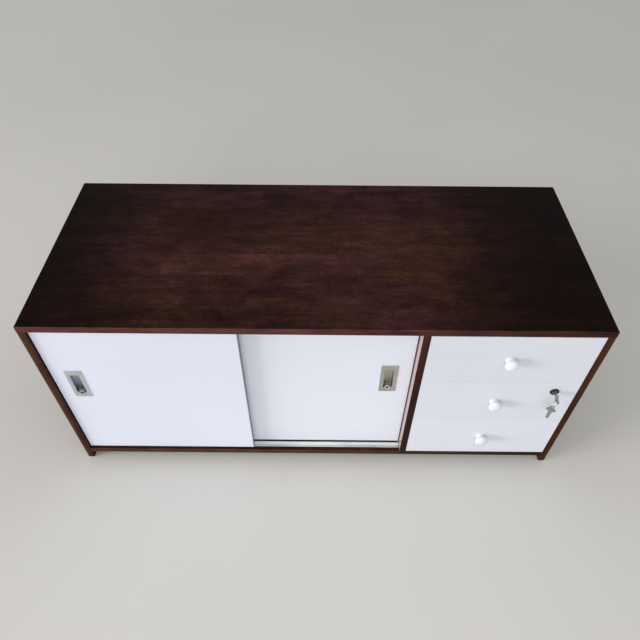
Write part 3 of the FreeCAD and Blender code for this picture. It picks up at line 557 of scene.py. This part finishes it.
slots = {part["node"]: part["material_slot"] for part in frame["record"]["subparts"]}
for name, node in NODES.items():
    slot = slots[name]
    if slot == "white_board":
        painted_light_slope = DOOR_PAINTED_LIGHT if "door" in name else DRAWER_PAINTED_LIGHT
        shaded_right_edge = name == "left_door_panel"
        material = white_board(name + "_white", name, BOARD_TONE_AS_LIT[name], painted_light_slope, shaded_right_edge)
    else:
        material = BY_NODE.get(name, BY_SLOT.get(slot))
    for place in node.material_slots:
        place.material = material


# ---------------------------------------------------------------- small pieces in mesh code
SMOOTH_BELOW = 38  # degrees: sharper bends between faces show as edges


def finish_piece(name, bm, material, body):
    bmesh.ops.recalc_face_normals(bm, faces=bm.faces)
    mesh = bpy.data.meshes.new(name)
    bm.to_mesh(mesh)
    bm.free()
    for face in mesh.polygons:
        face.use_smooth = True
    mesh.set_sharp_from_angle(angle=math.radians(SMOOTH_BELOW))
    mesh.materials.append(material)
    piece = bpy.data.objects.new(name, mesh)
    bpy.context.scene.collection.objects.link(piece)
    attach(piece, body)
    return piece


CROSS_HALF = 0.13  # half the width of a cross recess, as a share of the head's radius
SHANK_SHARE = 0.44  # a countersunk screw's shank, as a share of its head
SLIDE_WEB = 0.0012  # the web of a slide member, which its screws sit on
SCREW_INSET = 0.035  # from a slide member's end to its first screw
WASHER = (0.0065, 0.0010)  # radius and thickness of the washer behind a knob
SLEEVE_PITCH = 0.032
SLEEVE_DEPTH = 0.0060
PLUG_RADIUS = 0.0032  # the round face of a door lock's plug
LEFTWARD, RIGHTWARD = (-1, 0, 0), (1, 0, 0)
FORWARD, BACKWARD, UPWARD = (0, -1, 0), (0, 1, 0), (0, 0, 1)


def facing(centre, direction):
    """A frame at centre whose local Z points along direction."""
    turn = Vector(direction).to_track_quat("Z", "Y").to_matrix().to_4x4()
    return Matrix.Translation(Vector(centre)) @ turn


def turned(bm, profile, frame_at, steps=40):
    """Turns a profile of (radius, height) points round local Z. Gives back the rings of points."""
    rings = []
    for radius, rise in profile:
        count = steps if radius > 0 else 1
        ring = []
        for i in range(count):
            angle = 2 * math.pi * i / count
            point = Vector((radius * math.cos(angle), radius * math.sin(angle), rise))
            ring.append(bm.verts.new(frame_at @ point))
        rings.append(ring)
    for a, b in zip(rings, rings[1:]):
        for i in range(steps):
            corners = [a[i % len(a)], a[(i + 1) % len(a)], b[(i + 1) % len(b)], b[i % len(b)]]
            unique = list(dict.fromkeys(corners))
            if len(unique) > 2:
                bm.faces.new(unique)
    return rings


def crossed_face(bm, rim, frame_at, rise, arm, half, depth):
    """Closes a ring of points with a flat face that has a cross-shaped recess in it.

    arm is the length of each arm of the cross from its middle, and half is half its width.
    """
    outline = [
        (half, half), (half, arm), (-half, arm), (-half, half), (-arm, half), (-arm, -half),
        (-half, -half), (-half, -arm), (half, -arm), (half, -half), (arm, -half), (arm, half),
    ]
    mouth = [bm.verts.new(frame_at @ Vector((x, y, rise))) for x, y in outline]
    taper = 0.7
    floor = []
    for x, y in outline:
        floor.append(bm.verts.new(frame_at @ Vector((x * taper, y * taper, rise - depth))))
    edges = []
    for ring in (rim, mouth):
        for a, b in zip(ring, ring[1:] + ring[:1]):
            edges.append(bm.edges.get((a, b)) or bm.edges.new((a, b)))
    bmesh.ops.triangle_fill(bm, edges=edges, use_beauty=True)
    for i in range(len(mouth)):
        j = (i + 1) % len(mouth)
        bm.faces.new((mouth[i], mouth[j], floor[j], floor[i]))
    bm.faces.new(floor)


def pan_head(bm, centre, direction, radius=0.0035, rise=0.0018):
    """A domed screw head with a cross recess, sitting on a face."""
    at = facing(centre, direction)
    profile = [(0.0, 0.0), (radius * 0.98, 0.0), (radius, rise * 0.25), (radius * 0.95, rise * 0.55),
               (radius * 0.80, rise * 0.85), (radius * 0.62, rise)]
    rings = turned(bm, profile, at)
    crossed_face(bm, rings[-1], at, rise, radius * 0.52, radius * CROSS_HALF, rise * 0.7)


def gathered(node, reach, keep=(True, True, True)):
    """The boxes of the separate solids of a node, found by gathering points that lie close together.

    Points within reach of a solid's first point belong to it. keep says which axes count.
    """
    groups = []
    for vertex in NODES[node].data.vertices:
        place = Vector(tuple(c if k else 0.0 for c, k in zip(vertex.co, keep)))
        for group in groups:
            if (place - group[0]).length < reach:
                group[1].append(vertex.co.copy())
                break
        else:
            groups.append((place, [vertex.co.copy()]))
    boxes = []
    for _, points in groups:
        low = Vector(tuple(min(p[i] for p in points) for i in range(3)))
        high = Vector(tuple(max(p[i] for p in points) for i in range(3)))
        boxes.append((low, high))
    return boxes


def back_screws():
    """Countersunk screws through the back board, with cross recesses."""
    bm = bmesh.new()
    for low, high in gathered("back_panel_screws", 0.012, (True, False, True)):
        middle = (low + high) / 2
        head = (high.x - low.x) / 2
        shank = head * SHANK_SHARE
        at = facing((middle.x, high.y, middle.z), BACKWARD)
        length = high.y - low.y
        profile = [(0.0, -length), (shank * 0.3, -length + 0.001), (shank, -length + 0.004),
                   (shank, -0.0024), (head, -0.0002), (head * 0.97, 0.0), (head * 0.8, 0.0)]
        rings = turned(bm, profile, at)
        crossed_face(bm, rings[-1], at, 0.0, head * 0.55, head * CROSS_HALF, 0.0012)
    piece = finish_piece("back_screws", bm, ZINC, "cabinet")
    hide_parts("back_panel_screws")


def slide_screws(drawer):
    """The screws that hold the drawer's slide members, and the one behind its knob."""
    bm = bmesh.new()
    low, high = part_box(drawer + "_slide_members")
    box_low, box_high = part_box(drawer + "_sides")
    level = (low.z + high.z) / 2
    for y in (low.y + SCREW_INSET, (low.y + high.y) / 2, high.y - SCREW_INSET):
        pan_head(bm, (box_low.x - SLIDE_WEB, y, level), LEFTWARD)
        pan_head(bm, (box_high.x + SLIDE_WEB, y, level), RIGHTWARD)
    knob_low, knob_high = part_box(drawer + "_knob")
    centre = (knob_low + knob_high) / 2
    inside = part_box(drawer + "_front")[1].y
    at = facing((centre.x, inside, centre.z), BACKWARD)
    radius, thick = WASHER
    turned(bm, [(0.0, 0.0), (radius, 0.0), (radius, 0.0008), (0.0062, thick), (0.0, thick)], at)
    pan_head(bm, (centre.x, inside + thick, centre.z), BACKWARD, 0.0042, 0.0024)
    finish_piece(drawer + "_screws", bm, ZINC, drawer)


def pin_sleeves():
    """Plated sleeves in the spare holes over and under each shelf pin."""
    bm = bmesh.new()
    panel_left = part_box("bottom_panel")[0].x
    panel_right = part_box("divider_panel")[0].x
    for low, high in gathered("shelf_pins", 0.02):
        middle = (low + high) / 2
        left = middle.x < (panel_left + panel_right) / 2
        wall = panel_left if left else panel_right
        for step in (-2, -1, 1, 2):
            mouth = (wall, middle.y, middle.z + step * SLEEVE_PITCH)
            at = facing(mouth, RIGHTWARD if left else LEFTWARD)
            turned(bm, [
                (0.0024, -SLEEVE_DEPTH), (0.0024, 0.0002), (0.0027, 0.0005), (0.0036, 0.0004),
                (0.0039, 0.0), (0.0026, -0.0002), (0.0026, -SLEEVE_DEPTH), (0.0024, -SLEEVE_DEPTH),
            ], at)
    finish_piece("shelf_pin_sleeves", bm, ZINC, "cabinet")


def lock_collar(door, material):
    """The bright collar round the lock's face in the pull."""
    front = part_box(door + "_pull")[0].y
    x, _, z = JOINT_AT[door + "_lock_turn"]
    bm = bmesh.new()
    section = [
        (0.0002, 0.0), (0.0002, 0.0003), (0.0006, 0.0006), (0.0014, 0.0007), (0.0023, 0.0005),
        (0.0028, 0.0001), (0.0028, 0.0), (0.0002, 0.0),
    ]
    profile = [(PLUG_RADIUS + beyond, rise) for beyond, rise in section]
    turned(bm, profile, facing((x, front, z), FORWARD), 56)
    finish_piece(door + "_lock_collar", bm, material, door)


def pull_shade_pin(door, side):
    """A small black pin on the lower wall of the pull's recess, beside the lock, standing in for the shade in the
    recess corner: painted shade.
    """
    x, _, z = JOINT_AT[door + "_lock_turn"]
    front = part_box(door + "_pull")[0].y
    lower_wall = z - 0.0010
    bm = bmesh.new()
    at = facing((x + side * 0.0083, front + 0.0032, lower_wall), UPWARD)
    turned(bm, [(0.0, 0.0), (0.0017, 0.0), (0.0018, 0.0006), (0.0017, 0.0013), (0.0013, 0.0019),
                (0.0007, 0.0022), (0.0, 0.0023)], at, 28)
    finish_piece(door + "_pull_shade_pin", bm, SHADE_BLACK, door)


def track_shade_pile():
    """A strip of black pile on the web of the lower track, under the rear door, standing in for the shade in the
    gap there: painted shade.
    """
    bm = bmesh.new()
    low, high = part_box("bottom_door_track")
    door_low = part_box("right_door_panel")[0]
    x0 = low.x + 0.002
    x1 = high.x - 0.002
    near = door_low.y - 0.0031
    rows = 4
    row_step = 0.0014
    spacing = 0.0016
    half = 0.0007
    backing = 0.0006
    base = high.z
    tuft_rise = door_low.z - base - 0.0006
    corners = [(x, y, z) for x in (x0, x1) for y in (near, near + rows * row_step)
               for z in (base, base + backing)]
    verts = [bm.verts.new(c) for c in corners]
    sides = ((0, 1, 3, 2), (4, 6, 7, 5), (0, 4, 5, 1), (2, 3, 7, 6), (1, 5, 7, 3), (0, 2, 6, 4))
    for side in sides:
        bm.faces.new([verts[i] for i in side])
    quarters = ((-1, -1), (1, -1), (1, 1), (-1, 1))
    for row in range(rows):
        for i in range(int((x1 - x0) / spacing)):
            wobble = math.sin(i * 12.9898 + row * 78.233) * 43758.5453
            wobble -= math.floor(wobble)
            lean = wobble - 0.5
            x = x0 + spacing * (i + 0.5) + lean * 0.0006
            y = near + row_step * (row + 0.5)
            top = base + tuft_rise * (0.80 + 0.20 * wobble)
            foot = []
            tip = []
            for sx, sy in quarters:
                foot.append(bm.verts.new((x + sx * half, y + sy * half, base + 0.0005)))
            for sx, sy in quarters:
                tip.append(bm.verts.new((x + sx * half * 0.6 + lean * 0.0005, y + sy * half * 0.7, top)))
            for k in range(4):
                bm.faces.new((foot[k], foot[(k + 1) % 4], tip[(k + 1) % 4], tip[k]))
            bm.faces.new(tip)
            bm.faces.new(foot)
    finish_piece("track_shade_pile", bm, SHADE_BLACK, "cabinet")


back_screws()
for drawer in DRAWERS:
    slide_screws(drawer)
pin_sleeves()
# the right door's collar brighter than the left's: painted light
lock_collar("left_door", NICKEL_PALE)
lock_collar("right_door", NICKEL_BRIGHT)
pull_shade_pin("left_door", 1)
pull_shade_pin("right_door", -1)
track_shade_pile()


# ---------------------------------------------------------------- floor, light and camera
FLOOR_HALF = 8
LAMP_COLOUR = (1.0, 0.985, 0.97)
SKY_STRENGTH = 0.48
# Each area light: its power in watts, its size, its place and what it points at
LAMPS = {
    "window": (860, (5.0, 3.4), (-10.2, -3.7, 2.6), (0.0, -0.2, 0.28)),
    "front_fill": (54, (3.0, 2.4), (-0.4, -4.3, 2.1), (0.0, -0.2, 0.2)),
    "overhead": (8, (2.2, 2.2), (0.3, -1.4, 2.4), (0.1, -0.2, 0.2)),
}
# The camera stands in front of the case and over it, measured from the plane of the front edges
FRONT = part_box("top_panel")[0].y
CAMERA_PLACE = (0.0069, FRONT - 0.7471, 1.3622)
CAMERA_TURN = (42.385, -0.324, 0.380)
CAMERA_LENS = 32.15


def pale_floor():
    mesh = bpy.data.meshes.new("floor")
    corners = [(x * FLOOR_HALF, y * FLOOR_HALF, 0) for x, y in ((-1, -1), (1, -1), (1, 1), (-1, 1))]
    mesh.from_pydata(corners, [], [(0, 1, 2, 3)])
    floor = bpy.data.objects.new("floor", mesh)
    bpy.context.scene.collection.objects.link(floor)
    t = Tree("pale_floor")
    cloud = t.noise(t.place(), 0.8, 3.0, 0.5)
    colour = t.ramp(cloud, [(0.3, srgb(216, 214, 209)), (0.7, srgb(222, 220, 216))])
    mesh.materials.append(t.surface(color=colour, rough=0.75, specular=0.15))


def area_light(name, power, size, place, target):
    lamp = bpy.data.lights.new(name, "AREA")
    lamp.shape = "RECTANGLE"
    lamp.size = size[0]
    lamp.size_y = size[1]
    lamp.energy = power
    lamp.color = LAMP_COLOUR
    holder = bpy.data.objects.new(name, lamp)
    holder.location = place
    holder.rotation_euler = (Vector(target) - Vector(place)).to_track_quat("-Z", "Y").to_euler()
    bpy.context.scene.collection.objects.link(holder)


def world_light(strength):
    world = bpy.data.worlds.new("studio")
    world.use_nodes = True
    tree = world.node_tree
    tree.nodes.clear()
    out = tree.nodes.new("ShaderNodeOutputWorld")
    sky = tree.nodes.new("ShaderNodeBackground")
    sky.inputs["Color"].default_value = (1.0, 1.0, 1.0, 1.0)
    sky.inputs["Strength"].default_value = strength
    tree.links.new(sky.outputs[0], out.inputs["Surface"])
    bpy.context.scene.world = world


pale_floor()
world_light(SKY_STRENGTH)
for name, settings in LAMPS.items():
    area_light(name, *settings)

camera = bpy.data.cameras.new("camera")
camera.lens = CAMERA_LENS
camera.sensor_width = 36.0
camera.sensor_fit = "HORIZONTAL"
holder = bpy.data.objects.new("camera", camera)
holder.location = CAMERA_PLACE
holder.rotation_euler = Euler([math.radians(a) for a in CAMERA_TURN], "XYZ")
bpy.context.scene.collection.objects.link(holder)
bpy.context.scene.camera = holder
bpy.context.scene.view_settings.view_transform = "Standard"
